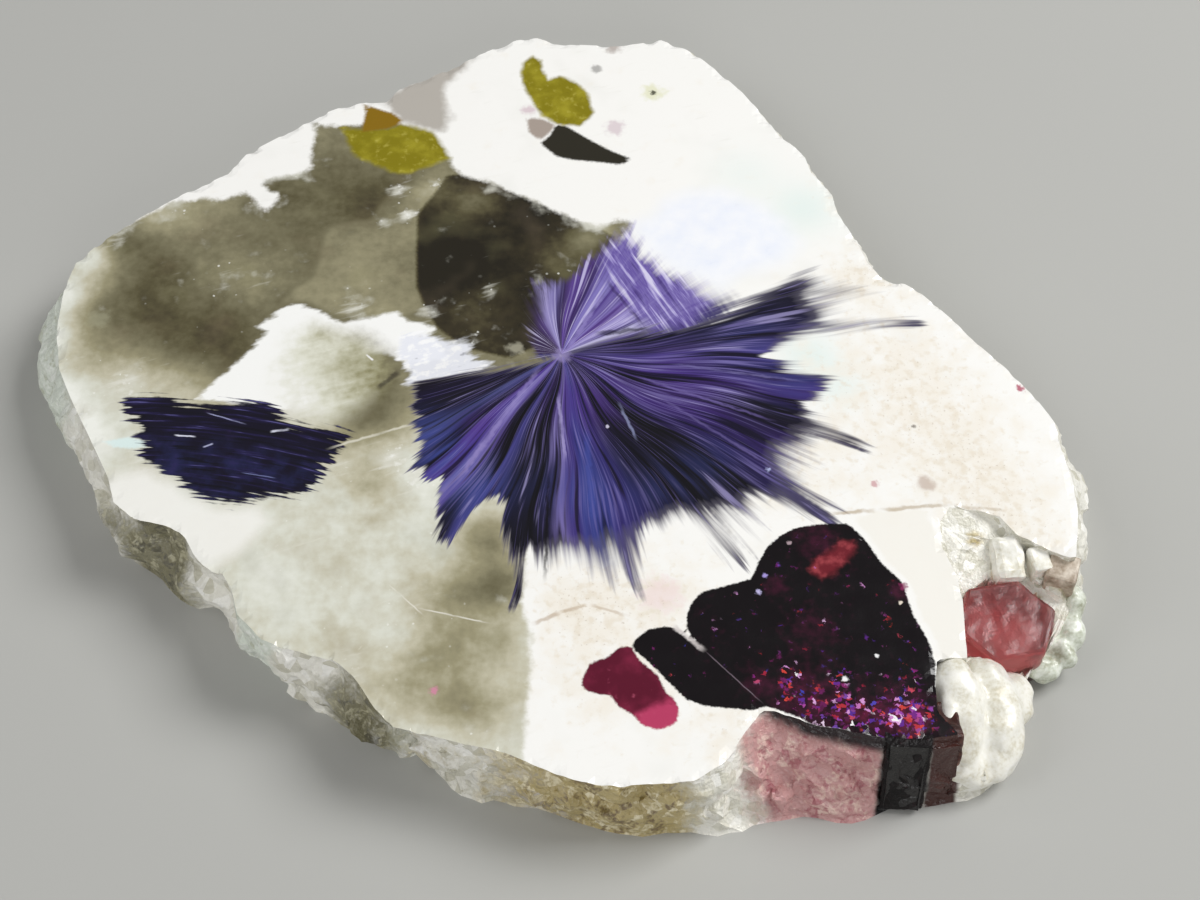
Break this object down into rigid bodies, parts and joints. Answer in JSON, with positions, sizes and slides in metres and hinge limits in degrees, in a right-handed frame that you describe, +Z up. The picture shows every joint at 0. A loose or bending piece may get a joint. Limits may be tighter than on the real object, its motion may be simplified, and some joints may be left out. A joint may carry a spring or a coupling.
{
  "type": "polished lepidolite and quartz slice",
  "caption": "Free-standing mineral slab, polished flat on top and sawn flat below, with rough walls, a violet spray in white feldspar, smoky quartz and dark red crystals",
  "frame": {"origin": "the middle of the slab's box, on the plane of the sawn back", "axes": "+Z up, out of the polished face; +X along the slab's longest side, to the right with the dark plum crystal at the front right; the front faces -Y"},
  "size_m": [0.1214, 0.1122, 0.01],
  "materials": {
    "stone": "polished upper face, rough broken walls, matt sawn back"
  },
  "bodies": {
    "root": {"slice": "stone"}
  },
  "joints": []
}
